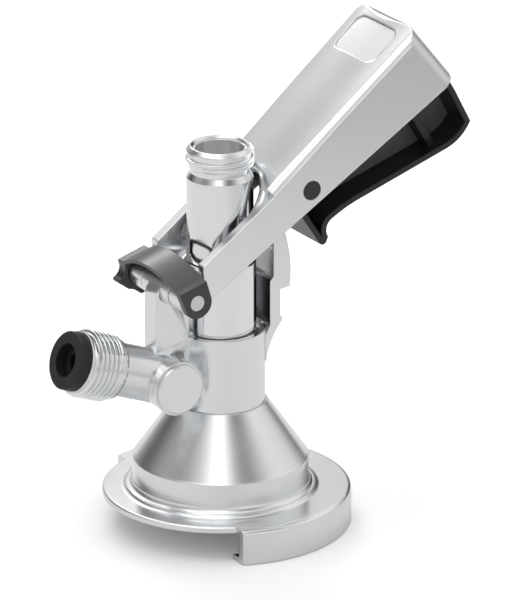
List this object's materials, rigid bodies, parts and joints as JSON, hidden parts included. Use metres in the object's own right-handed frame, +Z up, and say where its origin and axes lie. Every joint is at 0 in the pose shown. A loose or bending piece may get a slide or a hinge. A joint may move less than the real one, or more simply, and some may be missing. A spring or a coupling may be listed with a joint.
{
  "type": "keg coupler",
  "caption": "Slide-on keg coupler with a hooked flange, sliding probe, angled gas inlet, hinged lever handle and trigger catch.",
  "frame": {"origin": "on the probe axis at the underside of the hooked rim, which is what the coupler stands on", "axes": "+Z up along the probe axis towards the beer outlet; +X towards the lever handle, so the gas inlet points to -X; Y along the hinge pin"},
  "size_m": [0.1539, 0.0882, 0.1666],
  "materials": {
    "base": "satin polished forging",
    "housing": "satin polished casting",
    "lever": "satin polished casting",
    "probe": "mirror polished",
    "plate": "satin",
    "hinge_pin": "turned",
    "pins": "ground",
    "ball": "polished",
    "insert": "turned",
    "clip": "moulded",
    "trigger": "moulded",
    "trigger_pin": "black oxide",
    "spring": "drawn wire",
    "rubber": "moulded"
  },
  "bodies": {
    "body": {"keg_base": "base", "base_seal": "rubber", "valve_housing": "housing", "boss_plug": "housing", "mouth_ring": "pins", "housing_o_ring": "rubber", "inlet_washer": "rubber", "gas_check_valve": "rubber", "hinge_pin": "hinge_pin", "hinge_clip": "clip"},
    "lever": {"lever_shell": "lever", "window_plate": "plate", "trigger_pin": "trigger_pin", "trigger_spring": "spring"},
    "trigger": {"trigger": "trigger"},
    "probe": {"probe_body": "probe", "probe_seal": "rubber", "drive_pins": "pins", "outlet_insert": "insert"},
    "ball": {"check_ball": "ball"}
  },
  "joints": [
    {"name": "lever_hinge", "type": "hinge", "parent": "body", "child": "lever", "pos_m": [-0.0203, 0, 0.0865], "axis": [0, 1, 0], "range_deg": [0, 35]},
    {"name": "probe_slide", "type": "slide", "parent": "body", "child": "probe", "axis": [0, 0, 1], "range_m": [-0.0142, 0]},
    {"name": "trigger_pivot", "type": "hinge", "parent": "lever", "child": "trigger", "pos_m": [0.02511, 0, 0.11708], "axis": [0, -1, 0], "range_deg": [-6, 8], "stiffness_Nm_per_rad": 0.2},
    {"name": "ball_lift", "type": "slide", "parent": "probe", "child": "ball", "axis": [0, 0, 1], "range_m": [0, 0.002]}
  ],
  "couplings": [
    {"joint": "probe_slide", "follows": "lever_hinge", "m_per_rad": -0.023246}
  ]
}
